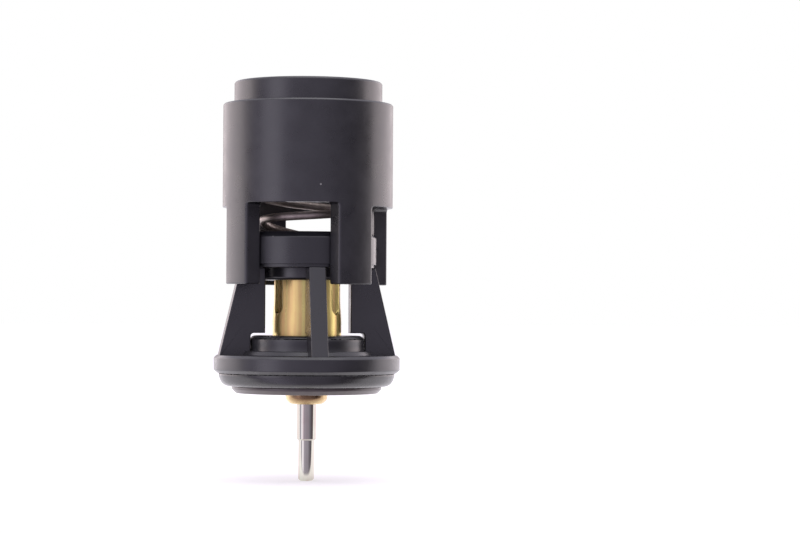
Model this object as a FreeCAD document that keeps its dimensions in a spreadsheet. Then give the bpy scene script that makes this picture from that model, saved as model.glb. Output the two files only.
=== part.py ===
# Engine thermostat: a plastic sleeve that plugs into the housing, and a sprung valve
# with a wax element that lifts into it. The origin is the centre of the sleeve's
# shoulder, the face that stops against the housing. +Z runs along the axis towards
# the neck, and the pin points down.
import FreeCAD, Part
import math
import os
import Sketcher

document = FreeCAD.newDocument("engine_thermostat")

# Driving sizes in millimetres, and angles in degrees
sheet = document.addObject("Spreadsheet::Sheet", "Sizes")
DRIVING_SIZES = {
    # Sleeve
    "neck_radius": 21.5,
    "neck_height": 6.4,
    "neck_wall": 3.5,
    "body_radius": 24.7,
    "body_wall": 4.45,
    "shoulder_wall": 3.2,
    "ledge_wall": 3.5,
    "neck_opening_radius": 12.5,
    "window_top_depth": 29.3,
    "tab_length": 23.15,
    "tab_width": 11.5,
    "tab_turn": 23.5,
    "tab_pair_turn": 92.85,
    "tab_edge_round": 0.6,
    "window_corner": 1.0,
    "tab_root": 2.5,
    "rim_chamfer": 0.5,
    "nose_reach": 0.95,
    "nose_height": 1.2,
    "nose_width": 7.0,
    # Valve frame: heights are measured from the flange's top face
    "flange_drop": 72.9,
    "flange_radius": 27.0,
    "flange_thickness": 5.2,
    "flange_top_chamfer": 0.4,
    "flange_bottom_chamfer": 1.1,
    "ring_radius": 19.2,
    "ring_height": 1.25,
    "leg_thickness": 4.8,
    "leg_foot_radius": 25.75,
    "leg_top_inset": 0.5,
    "leg_inner_radius": 12.5,
    "leg_height": 25.3,
    "leg_step_height": 6.4,
    "leg_step_round": 1.1,
    "hub_radius": 13.0,
    "hub_thickness": 3.6,
    "hub_chamfer": 0.7,
    # Bypass collar
    "collar_height": 9.3,
    "collar_chamfer": 1.55,
    "collar_foot_height": 0.9,
    "collar_foot_inset": 0.6,
    "collar_wall": 2.8,
    "collar_floor": 3.4,
    "collar_boss_height": 4.6,
    # Return spring
    "spring_radius": 13.1,
    "spring_wire_radius": 1.2,
    "spring_pitch": 8.2,
    "spring_ground": 0.6,
    # Element holder, its seal and the plate under them
    "holder_radius": 16.7,
    "holder_height": 5.7,
    "holder_round": 1.7,
    "holder_waist_low": 0.9,
    "holder_waist_high": 4.0,
    "holder_waist_radius": 4.2,
    "holder_shoulder_height": 1.0,
    "seal_radius": 25.6,
    "seal_thickness": 3.9,
    "plate_radius": 21.7,
    "plate_thickness": 1.9,
    "plate_chamfer": 1.2,
    # Wax element
    "cup_radius": 10.0,
    "cup_neck_radius": 9.6,
    "cup_wall": 0.9,
    "cup_height": 27.4,
    "cup_round": 1.6,
    "cup_taper_low": 10.0,
    "cup_taper_high": 15.5,
    "cup_flat_depth": 0.35,
    "cup_flat_low": 11.8,
    "cup_flat_turn": 81.6,
    "cup_flat_half_width": 2.3,
    "crimp_radius": 12.1,
    "crimp_lip": 0.5,
    "gasket_thickness": 0.6,
    "boot_radius": 4.6,
    "boot_flange": 1.0,
    "boot_end": 1.6,
    "guide_flange": 2.1,
    "guide_radius": 6.1,
    "guide_drop": 14.2,
    "guide_round": 2.4,
    "washer_radius": 4.5,
    "washer_thickness": 2.0,
    "wiper_section": 0.9,
    "wiper_height": 1.3,
    "wiper_drop": 10.9,
    # Pin
    "pin_radius": 2.85,
    "pin_step_drop": 24.6,
    "pin_tip_radius": 2.35,
    "pin_tip_drop": 36.4,
    "pin_chamfer": 0.5,
    "pin_step_chamfer": 0.25,
    "pin_inner_height": 19.0,
    "pin_inner_radius": 1.4,
    "pin_inner_taper": 5.0,
    # How far a shape that is cut away, or that joins another, runs past it
    "overcut": 0.5,
    # Clearances
    "collar_gap": 0.25,
    "nose_gap": 0.25,
    "spring_gap": 0.1,
    "spring_boss_gap": 0.4,
    "holder_gap": 0.25,
    "cup_gap": 0.1,
    "pin_gap": 0.05,
    "boot_gap": 0.1,
}

TAB_PAIR = 2
LEG_COUNT = 4
FLAT_COUNT = 3

# How close counts as the same place or direction
NEAR = 0.001


class Size:
    """A value together with the sheet expression that it comes from."""

    def __init__(self, value, text):
        self.value = value
        self.text = text

    def __add__(self, other):
        return Size(self.value + other.value, f"({self.text} + {other.text})")

    def __sub__(self, other):
        return Size(self.value - other.value, f"({self.text} - {other.text})")

    def __neg__(self):
        return Size(-self.value, f"(-{self.text})")


class Sizes:
    """The sheet's cells by name, each one a Size."""

    def __getattr__(self, name):
        return Size(float(getattr(sheet, name)), f"Sizes.{name}")


for row, (name, value) in enumerate(DRIVING_SIZES.items(), start=1):
    sheet.set(f"A{row}", name)
    sheet.set(f"B{row}", str(value))
    sheet.setAlias(f"B{row}", name)
document.recompute()

size = Sizes()
zero = Size(0.0, "0")


def new_body(label):
    """An empty body whose label names the piece."""
    body = document.addObject("PartDesign::Body", label)
    body.Label = label
    return body


def lower(body, drop):
    """Places a body below the shoulder by the given size."""
    body.setExpression("Placement.Base.z", (-drop).text)


def origin_feature(body, role):
    """The body's own origin plane or axis with this role."""
    return next(item for item in body.Origin.OriginFeatures if item.Role == role)


def new_sketch(body, label, plane="XZ_Plane"):
    """An empty sketch on one of the body's own planes."""
    sketch = body.newObject("Sketcher::SketchObject", label)
    sketch.AttachmentSupport = [(origin_feature(body, plane), "")]
    sketch.MapMode = "FlatFace"
    return sketch


def constrain(sketch, kind, *points, value):
    """Adds one dimension to a sketch and binds it to the sheet."""
    index = sketch.addConstraint(Sketcher.Constraint(kind, *points, value.value))
    sketch.setExpression(f"Constraints[{index}]", value.text)


def arc_between(start, end, radius, turn):
    """The arc from start to end with this radius: turn is 1 to the left, -1 to the right."""
    half = (end - start) * 0.5
    rise = math.sqrt(max(radius ** 2 - half.Length ** 2, 0.0))
    side = FreeCAD.Vector(-half.y, half.x, 0.0).normalize() * rise * turn
    centre = start + half + side
    angles = [math.atan2(point.y - centre.y, point.x - centre.x) for point in (start, end)]
    if turn < 0:
        angles.reverse()
    return Part.ArcOfCircle(Part.Circle(centre, FreeCAD.Vector(0, 0, 1), radius), *angles)


def draw_outline(sketch, corners):
    """Draws a closed outline with every corner bound to the sheet.

    A corner is (x, y), reached by a straight line, or (x, y, radius, turn), reached by
    an arc of that radius which turns left (1) or right (-1)."""
    points = [FreeCAD.Vector(corner[0].value, corner[1].value, 0.0) for corner in corners]
    ends = []
    for index, corner in enumerate(corners):
        start, end = points[index - 1], points[index]
        if len(corner) == 2:
            piece = sketch.addGeometry(Part.LineSegment(start, end))
            ends.append((piece, 1, 2))
        else:
            radius, turn = corner[2:]
            piece = sketch.addGeometry(arc_between(start, end, radius.value, turn))
            ends.append((piece, 1, 2) if turn > 0 else (piece, 2, 1))
            constrain(sketch, "Radius", piece, value=radius)
    for index, (piece, first, last) in enumerate(ends):
        following, following_first = ends[(index + 1) % len(ends)][:2]
        sketch.addConstraint(
            Sketcher.Constraint("Coincident", piece, last, following, following_first))
        constrain(sketch, "DistanceX", -1, 1, piece, last, value=corners[index][0])
        constrain(sketch, "DistanceY", -1, 1, piece, last, value=corners[index][1])


def turned(body, label, corners, kind="PartDesign::Revolution"):
    """Turns an outline of radii and heights about the body's axis."""
    sketch = new_sketch(body, f"{label}_outline")
    draw_outline(sketch, corners)
    feature = body.newObject(kind, label)
    feature.Profile = sketch
    feature.ReferenceAxis = (sketch, ["V_Axis"])
    feature.Angle = 360.0
    document.recompute()
    return feature


def cut_round(body, label, corners):
    """Turns an outline of radii and heights about the axis and cuts it away."""
    return turned(body, label, corners, kind="PartDesign::Groove")


def extruded(body, label, corners, length, turn=None):
    """Pads an outline in the XZ plane equally to both sides. A turn swings the plane about Z."""
    sketch = new_sketch(body, f"{label}_outline")
    if turn is not None:
        sketch.AttachmentOffset = FreeCAD.Placement(
            FreeCAD.Vector(), FreeCAD.Rotation(FreeCAD.Vector(0, 1, 0), turn.value))
        sketch.setExpression("AttachmentOffset.Rotation.Angle", turn.text)
    draw_outline(sketch, corners)
    feature = body.newObject("PartDesign::Pad", label)
    feature.Profile = sketch
    feature.Midplane = True
    feature.setExpression("Length", length.text)
    document.recompute()
    return feature


def around_axis(body, label, features, count):
    """Repeats features evenly about the body's axis."""
    pattern = body.newObject("PartDesign::PolarPattern", label)
    pattern.Originals = features
    pattern.Axis = (origin_feature(body, "Z_Axis"), [""])
    pattern.Angle = 360.0
    pattern.Occurrences = count
    body.Tip = pattern
    document.recompute()
    return pattern


def edges_where(feature, test):
    """Names of the feature's edges that pass the test."""
    edges = feature.Shape.Edges
    return [f"Edge{index}" for index, edge in enumerate(edges, start=1) if test(edge)]


def is_upright(edge):
    """True for a straight edge along Z."""
    return isinstance(edge.Curve, Part.Line) and abs(edge.tangentAt(edge.FirstParameter).z) > 1 - NEAR


def is_level(edge):
    """True for a straight edge across Z."""
    return isinstance(edge.Curve, Part.Line) and abs(edge.tangentAt(edge.FirstParameter).z) < NEAR


def radius_of(point):
    """Distance of a point from the axis."""
    return math.hypot(point.x, point.y)


# Radii and levels that several pieces share: a level is measured from the flange's top face
bore_radius = size.body_radius - size.body_wall
collar_base = size.leg_height + size.collar_foot_height
collar_top = collar_base + size.collar_height
collar_floor_top = size.leg_height + size.collar_floor
seal_top = -size.flange_thickness
seal_bottom = seal_top - size.seal_thickness
plate_bottom = seal_bottom - size.plate_thickness
cup_shoulder = size.holder_shoulder_height - size.gasket_thickness
cup_shoulder_inside = cup_shoulder - size.cup_wall
boot_flange_bottom = cup_shoulder_inside - size.boot_flange
guide_flange_bottom = boot_flange_bottom - size.guide_flange
guide_flange_radius = size.crimp_radius - size.cup_wall
holder_chamber_radius = size.crimp_radius + size.cup_gap
guide_bore_radius = size.pin_radius + size.pin_gap
boot_bore_radius = size.pin_radius + size.boot_gap


def make_sleeve():
    """Moulded sleeve: neck, shoulder, bored body, and four tabs with windows between."""
    body = new_body("sleeve")
    neck_bore = size.neck_radius - size.neck_wall
    ledge_bottom = size.neck_height - size.ledge_wall
    window_top = -size.window_top_depth
    turned(body, "sleeve_shell", [
        (bore_radius, window_top),
        (size.body_radius, window_top),
        (size.body_radius, -size.rim_chamfer),
        (size.body_radius - size.rim_chamfer, zero),
        (size.neck_radius, zero),
        (size.neck_radius, size.neck_height - size.rim_chamfer),
        (size.neck_radius - size.rim_chamfer, size.neck_height),
        (size.neck_opening_radius, size.neck_height),
        (size.neck_opening_radius, ledge_bottom),
        (neck_bore, ledge_bottom),
        (neck_bore, -size.shoulder_wall),
        (bore_radius, -size.shoulder_wall),
    ])

    # A tab is a block across a radius, trimmed to the wall's own curve. Opposite tabs are alike,
    # and the second pair stands a little more than a quarter turn from the first
    tab_bottom = window_top - size.tab_length
    tab_inner = bore_radius - size.tab_root
    tab_outer = size.body_radius + size.overcut
    block = [
        (tab_inner, tab_bottom),
        (tab_outer, tab_bottom),
        (tab_outer, window_top),
        (tab_inner, window_top),
    ]
    tabs = [
        extruded(body, "first_tab", block, size.tab_width),
        extruded(body, "second_tab", block, size.tab_width, size.tab_pair_turn),
    ]
    around_axis(body, "tabs", tabs, TAB_PAIR)
    cut_top = window_top + size.overcut
    cut_bottom = tab_bottom - size.overcut
    beyond = size.body_radius + size.body_radius
    cut_round(body, "tab_outside", [
        (size.body_radius, cut_bottom),
        (beyond, cut_bottom),
        (beyond, cut_top),
        (size.body_radius, cut_top),
    ])
    inside = cut_round(body, "tab_inside", [
        (zero, cut_bottom),
        (bore_radius, cut_bottom),
        (bore_radius, cut_top),
        (zero, cut_top),
    ])

    # The windows' upper corners are rounded, and so is the outer edge all round each window
    corners = body.newObject("PartDesign::Fillet", "window_corners")
    corners.Base = (inside, edges_where(inside, lambda edge: is_level(edge)
                    and abs(edge.CenterOfMass.z - window_top.value) < NEAR))
    corners.setExpression("Radius", size.window_corner.text)
    document.recompute()
    rounding = body.newObject("PartDesign::Fillet", "tab_edge_rounding")
    rounding.Base = (corners, edges_where(corners, lambda edge: is_upright(edge)
                     and radius_of(edge.CenterOfMass) > size.body_radius.value - NEAR))
    rounding.setExpression("Radius", size.tab_edge_round.text)
    document.recompute()

    # A nose inside each tab holds the collar in against its spring
    nose_top = size.leg_height - size.flange_drop - size.nose_gap
    wedge = [
        (bore_radius + size.overcut, nose_top - size.nose_height - size.nose_reach),
        (bore_radius, nose_top - size.nose_height - size.nose_reach),
        (bore_radius - size.nose_reach, nose_top - size.nose_height),
        (bore_radius - size.nose_reach, nose_top),
        (bore_radius + size.overcut, nose_top),
    ]
    noses = [
        extruded(body, "first_nose", wedge, size.nose_width),
        extruded(body, "second_nose", wedge, size.nose_width, size.tab_pair_turn),
    ]
    around_axis(body, "noses", noses, TAB_PAIR)
    body.setExpression("Placement.Rotation.Angle", size.tab_turn.text)
    return body


def make_valve_frame():
    """Moulded frame: flange with a raised ring, four tapering legs and a hub on top."""
    body = new_body("valve_frame")
    ring_bore = size.holder_radius + size.holder_gap
    hub_bottom = size.leg_height - size.hub_thickness
    hub_bore = size.cup_neck_radius + size.cup_gap
    turned(body, "flange", [
        (size.leg_inner_radius, -size.flange_thickness),
        (size.flange_radius - size.flange_bottom_chamfer, -size.flange_thickness),
        (size.flange_radius, size.flange_bottom_chamfer - size.flange_thickness),
        (size.flange_radius, -size.flange_top_chamfer),
        (size.flange_radius - size.flange_top_chamfer, zero),
        (size.ring_radius, zero),
        (size.ring_radius, size.ring_height),
        (size.leg_inner_radius, size.ring_height),
    ])
    foot = -size.flange_top_chamfer
    leg = extruded(body, "leg", [
        (size.leg_inner_radius, foot),
        (size.leg_foot_radius, foot),
        (size.leg_foot_radius, zero),
        (bore_radius - size.leg_top_inset, size.leg_height),
        (size.leg_inner_radius, size.leg_height),
    ], size.leg_thickness)
    around_axis(body, "legs", [leg], LEG_COUNT)

    # The holder's round room cuts the flange's bore and the steps in the legs
    cut_round(body, "holder_room", [
        (zero, -size.flange_thickness - size.overcut),
        (ring_bore, -size.flange_thickness - size.overcut),
        (ring_bore, size.leg_step_height - size.leg_step_round),
        (ring_bore - size.leg_step_round, size.leg_step_height, size.leg_step_round, 1),
        (zero, size.leg_step_height),
    ])
    turned(body, "hub", [
        (hub_bore, hub_bottom),
        (size.hub_radius - size.hub_chamfer, hub_bottom),
        (size.hub_radius, hub_bottom + size.hub_chamfer),
        (size.hub_radius, size.leg_height),
        (hub_bore, size.leg_height),
    ])
    lower(body, size.flange_drop)
    return body


def make_bypass_collar():
    """Moulded collar on the hub: it slides in the bore, closes the windows and seats the spring."""
    body = new_body("bypass_collar")
    radius = bore_radius - size.collar_gap
    socket_radius = size.cup_neck_radius + size.cup_gap
    socket_top = size.cup_height + size.cup_gap
    boss_radius = size.spring_radius - size.spring_wire_radius - size.spring_boss_gap
    boss_top = collar_floor_top + size.collar_boss_height
    turned(body, "collar", [
        (socket_radius, size.leg_height),
        (radius - size.collar_foot_inset, size.leg_height),
        (radius - size.collar_foot_inset, collar_base),
        (radius, collar_base),
        (radius, collar_top - size.collar_chamfer),
        (radius - size.collar_chamfer, collar_top),
        (radius - size.collar_wall, collar_top),
        (radius - size.collar_wall, collar_floor_top),
        (boss_radius, collar_floor_top),
        (boss_radius, boss_top - size.rim_chamfer),
        (boss_radius - size.rim_chamfer, boss_top),
        (zero, boss_top),
        (zero, socket_top),
        (socket_radius, socket_top),
    ])
    lower(body, size.flange_drop)
    return body


def make_return_spring():
    """Steel compression spring with flat ground ends, from the collar up to the sleeve's ledge."""
    bottom = (collar_floor_top - size.flange_drop + size.spring_gap).value
    top = (size.neck_height - size.ledge_wall).value
    radius = size.spring_radius.value
    wire_radius = size.spring_wire_radius.value
    pitch = size.spring_pitch.value
    ground = size.spring_ground.value
    length = top - bottom
    helix = Part.makeHelix(pitch, length + 2 * ground, radius)
    profile = Part.Wire(Part.makeCircle(
        wire_radius, FreeCAD.Vector(radius, 0, 0), FreeCAD.Vector(0, 1, pitch / (2 * math.pi * radius))))
    coil = Part.Wire(helix).makePipeShell([profile], True, True)
    coil.translate(FreeCAD.Vector(0, 0, -ground))
    room = Part.makeCylinder(radius + 2 * wire_radius, length)
    spring = document.addObject("Part::Feature", "return_spring")
    spring.Label = "return_spring"
    spring.Shape = room.common(coil)
    spring.Placement = FreeCAD.Placement(FreeCAD.Vector(0, 0, bottom), FreeCAD.Rotation())
    return spring


def make_element_holder():
    """Moulded holder: a waisted collar round the element, which passes up through the flange."""
    body = new_body("element_holder")
    cup_hole = size.cup_radius + size.cup_gap
    turned(body, "holder", [
        (holder_chamber_radius, seal_bottom),
        (size.holder_radius, seal_bottom),
        (size.holder_radius, size.holder_waist_low),
        (size.holder_radius, size.holder_waist_high, size.holder_waist_radius, -1),
        (size.holder_radius - size.holder_round, size.holder_height, size.holder_round, 1),
        (cup_hole, size.holder_height),
        (cup_hole, size.holder_shoulder_height),
        (holder_chamber_radius, size.holder_shoulder_height),
    ])
    lower(body, size.flange_drop)
    return body


def make_main_seal():
    """Rubber ring under the flange, with the round edge that closes on the housing's seat."""
    body = new_body("main_seal")
    edge_round = size.seal_thickness
    turned(body, "seal", [
        (size.holder_radius, seal_bottom),
        (size.seal_radius - edge_round, seal_bottom),
        (size.seal_radius, seal_top, edge_round, 1),
        (size.holder_radius, seal_top),
    ])
    lower(body, size.flange_drop)
    return body


def make_seal_plate():
    """Round plate below the seal, with the guide's boss through its middle."""
    body = new_body("seal_plate")
    hole = size.guide_radius + size.cup_gap
    turned(body, "plate", [
        (hole, plate_bottom),
        (size.plate_radius - size.plate_chamfer, plate_bottom),
        (size.plate_radius, plate_bottom + size.plate_chamfer),
        (size.plate_radius, seal_bottom),
        (hole, seal_bottom),
    ])
    lower(body, size.flange_drop)
    return body


def make_element_cup():
    """Drawn brass cup: necked above, with three pressed flats and a crimped mouth."""
    body = new_body("element_cup")
    inner = size.cup_radius - size.cup_wall
    inner_neck = size.cup_neck_radius - size.cup_wall
    lip_bottom = guide_flange_bottom - size.cup_wall
    lip_radius = guide_flange_radius - size.crimp_lip
    cup = turned(body, "cup", [
        (guide_flange_radius, cup_shoulder_inside),
        (guide_flange_radius, guide_flange_bottom),
        (lip_radius, guide_flange_bottom),
        (lip_radius, lip_bottom),
        (size.crimp_radius, lip_bottom),
        (size.crimp_radius, cup_shoulder),
        (size.cup_radius, cup_shoulder),
        (size.cup_radius, size.cup_taper_low),
        (size.cup_neck_radius, size.cup_taper_high),
        (size.cup_neck_radius, size.cup_height - size.cup_round),
        (size.cup_neck_radius - size.cup_round, size.cup_height, size.cup_round, 1),
        (zero, size.cup_height),
        (zero, size.cup_height - size.cup_wall),
        (inner_neck, size.cup_height - size.cup_wall),
        (inner_neck, size.cup_taper_high),
        (inner, size.cup_taper_low),
        (inner, cup_shoulder_inside),
    ])
    volume_before = cup.Shape.Volume

    # A flat starts in a round end on the taper and runs up the neck
    flat_plane = size.cup_neck_radius - size.cup_flat_depth
    flat_half = size.cup_flat_half_width
    sketch = new_sketch(body, "flat_outline", "YZ_Plane")
    sketch.setExpression("AttachmentOffset.Base.z", flat_plane.text)
    draw_outline(sketch, [
        (-flat_half, size.cup_flat_low + flat_half),
        (zero, size.cup_flat_low, flat_half, 1),
        (flat_half, size.cup_flat_low + flat_half, flat_half, 1),
        (flat_half, size.cup_height + size.cup_round),
        (-flat_half, size.cup_height + size.cup_round),
    ])
    flat = body.newObject("PartDesign::Pocket", "flat")
    flat.Profile = sketch
    flat.Type = "ThroughAll"
    flat.Reversed = True
    document.recompute()
    pattern = around_axis(body, "flats", [flat], FLAT_COUNT)
    if pattern.Shape.Volume >= volume_before:
        raise ValueError("the cup's flats cut nothing")
    lower(body, size.flange_drop)
    body.setExpression("Placement.Rotation.Angle", size.cup_flat_turn.text)
    return body


def make_wax_charge():
    """Wax that fills the cup round the rubber boot, modelled as one solid."""
    body = new_body("wax_charge")
    inner = size.cup_radius - size.cup_wall
    inner_neck = size.cup_neck_radius - size.cup_wall
    boot_top = size.pin_inner_height + size.boot_gap + size.boot_end
    turned(body, "wax", [
        (size.boot_radius, cup_shoulder_inside),
        (inner, cup_shoulder_inside),
        (inner, size.cup_taper_low),
        (inner_neck, size.cup_taper_high),
        (inner_neck, size.cup_height - size.cup_wall),
        (zero, size.cup_height - size.cup_wall),
        (zero, boot_top),
        (size.boot_radius, boot_top),
    ])
    lower(body, size.flange_drop)
    return body


def make_piston_boot():
    """Rubber boot over the pin's inner end, clamped by its flange in the cup's mouth."""
    body = new_body("piston_boot")
    cavity_top = size.pin_inner_height + size.boot_gap
    turned(body, "boot", [
        (boot_bore_radius, boot_flange_bottom),
        (guide_flange_radius, boot_flange_bottom),
        (guide_flange_radius, cup_shoulder_inside),
        (size.boot_radius, cup_shoulder_inside),
        (size.boot_radius, cavity_top + size.boot_end),
        (zero, cavity_top + size.boot_end),
        (zero, cavity_top),
        (boot_bore_radius, cavity_top),
    ])
    lower(body, size.flange_drop)
    return body


def make_backup_washer():
    """Hard plastic washer that keeps the boot from creeping into the guide."""
    body = new_body("backup_washer")
    turned(body, "washer", [
        (boot_bore_radius, boot_flange_bottom - size.washer_thickness),
        (size.washer_radius, boot_flange_bottom - size.washer_thickness),
        (size.washer_radius, boot_flange_bottom),
        (boot_bore_radius, boot_flange_bottom),
    ])
    lower(body, size.flange_drop)
    return body


def make_element_gasket():
    """Flat rubber ring between the cup's shoulder and the holder."""
    body = new_body("element_gasket")
    turned(body, "gasket", [
        (size.cup_radius + size.cup_gap, cup_shoulder),
        (size.crimp_radius, cup_shoulder),
        (size.crimp_radius, size.holder_shoulder_height),
        (size.cup_radius + size.cup_gap, size.holder_shoulder_height),
    ])
    lower(body, size.flange_drop)
    return body


def make_piston_guide():
    """Turned brass guide: a flange in the crimp, and a boss that carries the pin."""
    body = new_body("piston_guide")
    body_radius = guide_flange_radius - size.crimp_lip
    guide_bottom = -size.guide_drop
    washer_bottom = boot_flange_bottom - size.washer_thickness
    wiper_top = -size.wiper_drop
    wiper_bottom = wiper_top - size.wiper_height
    groove_radius = guide_bore_radius + size.wiper_section
    turned(body, "guide", [
        (guide_bore_radius, guide_bottom),
        (size.guide_radius - size.guide_round, guide_bottom),
        (size.guide_radius, guide_bottom + size.guide_round, size.guide_round, 1),
        (size.guide_radius, seal_bottom),
        (body_radius, seal_bottom),
        (body_radius, guide_flange_bottom),
        (guide_flange_radius, guide_flange_bottom),
        (guide_flange_radius, boot_flange_bottom),
        (size.washer_radius, boot_flange_bottom),
        (size.washer_radius, washer_bottom),
        (guide_bore_radius, washer_bottom),
        (guide_bore_radius, wiper_top),
        (groove_radius, wiper_top),
        (groove_radius, wiper_bottom),
        (guide_bore_radius, wiper_bottom),
    ])
    lower(body, size.flange_drop)
    return body


def make_guide_wiper():
    """Rubber ring in the guide's groove that keeps dirt off the pin."""
    body = new_body("guide_wiper")
    wiper_top = -size.wiper_drop
    wiper_bottom = wiper_top - size.wiper_height
    turned(body, "wiper", [
        (guide_bore_radius, wiper_bottom),
        (guide_bore_radius + size.wiper_section, wiper_bottom),
        (guide_bore_radius + size.wiper_section, wiper_top),
        (guide_bore_radius, wiper_top),
    ])
    lower(body, size.flange_drop)
    return body


def make_piston_pin():
    """Ground steel pin with a thinner tip, which bears on the housing's cover."""
    body = new_body("piston_pin")
    tip = -size.pin_tip_drop
    step = -size.pin_step_drop
    turned(body, "pin", [
        (zero, tip),
        (size.pin_tip_radius - size.pin_chamfer, tip),
        (size.pin_tip_radius, tip + size.pin_chamfer),
        (size.pin_tip_radius, step),
        (size.pin_radius - size.pin_step_chamfer, step),
        (size.pin_radius, step + size.pin_step_chamfer),
        (size.pin_radius, size.pin_inner_height - size.pin_inner_taper),
        (size.pin_inner_radius, size.pin_inner_height),
        (zero, size.pin_inner_height),
    ])
    lower(body, size.flange_drop)
    return body


PIECES = [
    make_sleeve(),
    make_return_spring(),
    make_valve_frame(),
    make_bypass_collar(),
    make_element_holder(),
    make_main_seal(),
    make_seal_plate(),
    make_element_cup(),
    make_wax_charge(),
    make_piston_boot(),
    make_backup_washer(),
    make_element_gasket(),
    make_piston_guide(),
    make_guide_wiper(),
    make_piston_pin(),
]
document.recompute()

for item in document.Objects:
    if {"Invalid", "Error"} & set(item.State):
        raise ValueError(f"{item.Label} did not build: {item.State}")
for piece in PIECES:
    if piece.Shape.isNull() or not piece.Shape.isValid() or piece.Shape.Volume <= 0:
        raise ValueError(f"{piece.Label} has no valid shape")

os.makedirs("parts", exist_ok=True)
for piece in PIECES:
    piece.Shape.exportStep(f"parts/{piece.Label}.step")
    box = piece.Shape.optimalBoundingBox()
    print(f"{piece.Label}: {len(piece.Shape.Solids)} solid, {piece.Shape.Volume:.1f} mm3, "
          f"z {box.ZMin:.2f} to {box.ZMax:.2f}, r {max(box.XMax, box.YMax):.2f}")
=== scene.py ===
import math

import bmesh
import bpy
import numpy as np
from mathutils import Euler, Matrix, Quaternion, Vector


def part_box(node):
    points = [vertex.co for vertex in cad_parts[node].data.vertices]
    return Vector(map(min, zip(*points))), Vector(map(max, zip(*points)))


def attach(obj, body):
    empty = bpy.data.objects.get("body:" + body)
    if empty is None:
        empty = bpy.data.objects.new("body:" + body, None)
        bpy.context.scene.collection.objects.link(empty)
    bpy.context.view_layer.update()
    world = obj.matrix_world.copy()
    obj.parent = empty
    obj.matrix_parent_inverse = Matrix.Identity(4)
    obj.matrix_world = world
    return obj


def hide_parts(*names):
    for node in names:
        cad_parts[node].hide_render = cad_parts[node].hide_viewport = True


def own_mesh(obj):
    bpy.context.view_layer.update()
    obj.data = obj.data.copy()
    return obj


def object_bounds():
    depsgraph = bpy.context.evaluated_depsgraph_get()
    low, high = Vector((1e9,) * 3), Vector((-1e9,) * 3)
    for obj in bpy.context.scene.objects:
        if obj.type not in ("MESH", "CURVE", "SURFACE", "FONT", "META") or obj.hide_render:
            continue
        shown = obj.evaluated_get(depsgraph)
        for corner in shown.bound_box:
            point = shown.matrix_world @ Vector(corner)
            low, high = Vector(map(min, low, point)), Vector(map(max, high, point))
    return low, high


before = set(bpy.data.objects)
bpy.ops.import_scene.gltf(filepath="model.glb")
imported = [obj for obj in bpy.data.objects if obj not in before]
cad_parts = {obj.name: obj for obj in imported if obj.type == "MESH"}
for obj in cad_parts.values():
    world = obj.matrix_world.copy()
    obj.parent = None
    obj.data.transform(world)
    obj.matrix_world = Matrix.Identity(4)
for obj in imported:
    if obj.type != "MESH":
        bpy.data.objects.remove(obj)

cad_box = [list(corner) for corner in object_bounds()]


# Sleeve: one black moulding that plugs into the housing. The neck and the body fit two bores,
# and four tabs hang from the body with a window between each pair. The noses inside the tabs
# catch the collar when the part is out of the housing.
MM = 0.001
sleeve_low, sleeve_high = (corner.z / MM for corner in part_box("sleeve"))
neck_radius, neck_wall = 21.5, 3.5
body_radius, bore_radius = 24.7, 20.25
shoulder_chamfer, rim_chamfer = 0.45, 0.5
opening_radius, ledge_wall, shoulder_wall = 12.5, 3.5, 3.2
window_top, side_window_top, rear_window_top, window_corner = -29.3, -30.15, -30.65, 1.0
front_window, near_tab, far_tab, half_step = 249.9, 46.5, 133.5, 4.5
first_tab, second_tab = 23.5, 116.35
tab_width, tab_root, tab_edge, tab_foot, inner_edge = 11.5, 1.0, 0.6, 0.35, 0.35
nose_top, nose_height, nose_flat, nose_reach, nose_half = -47.85, 2.15, 1.2, 0.95, 3.5
nose_root = 0.5
# Two shapes of one moulding whose faces would lie in the same plane are set this far apart.
apart = 0.004


def rounded(corners, steps=6, runs=0):
    """A closed outline whose corners are eased. A corner is (x, y, cut): a curve leaves the sides
    at the distance cut before and after it, and follows (1-u)^2 A + 2u(1-u) C + u^2 B from side A
    to side B over the corner C. A short lead on both sides keeps the flats flat, and each straight
    run takes further points where it will be bent."""
    corners = np.array(corners, float)
    place, cut = corners[:, :2], corners[:, 2:]
    back, ahead = np.roll(place, 1, axis=0) - place, np.roll(place, -1, axis=0) - place
    back /= np.linalg.norm(back, axis=1, keepdims=True)
    ahead /= np.linalg.norm(ahead, axis=1, keepdims=True)
    u = np.linspace(0, 1, steps + 1)[None, :, None]
    start, end = place + back * cut, place + ahead * cut
    curve = (1 - u) ** 2 * start[:, None] + 2 * u * (1 - u) * place[:, None] + u ** 2 * end[:, None]
    lead = 0.25 * cut
    curve = np.concatenate([(start + back * lead)[:, None], curve, (end + ahead * lead)[:, None]], axis=1)
    following = np.roll(curve[:, 0], -1, axis=0)
    t = np.linspace(0, 1, runs + 2)[None, 1:-1, None]
    run = (1 - t) * curve[:, -1][:, None] + t * following[:, None]
    return np.concatenate([curve, run], axis=1).reshape(-1, 2)


def turned(outline, count=256):
    """The outline carried round the axis: x = r cos a, y = r sin a, z = h."""
    angle = np.linspace(0, 2 * math.pi, count, endpoint=False)[:, None]
    radius, height = outline[:, 0][None], outline[:, 1][None]
    return np.stack([radius * np.cos(angle), radius * np.sin(angle), height + 0 * angle], axis=-1)


def closed_ends(rows):
    """Adds the middle of the first and the last row as poles, so that the surface is closed."""
    first = np.broadcast_to(rows[0].mean(axis=0), rows[0].shape)
    last = np.broadcast_to(rows[-1].mean(axis=0), rows[-1].shape)
    return np.concatenate([first[None], rows, last[None]])


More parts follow.
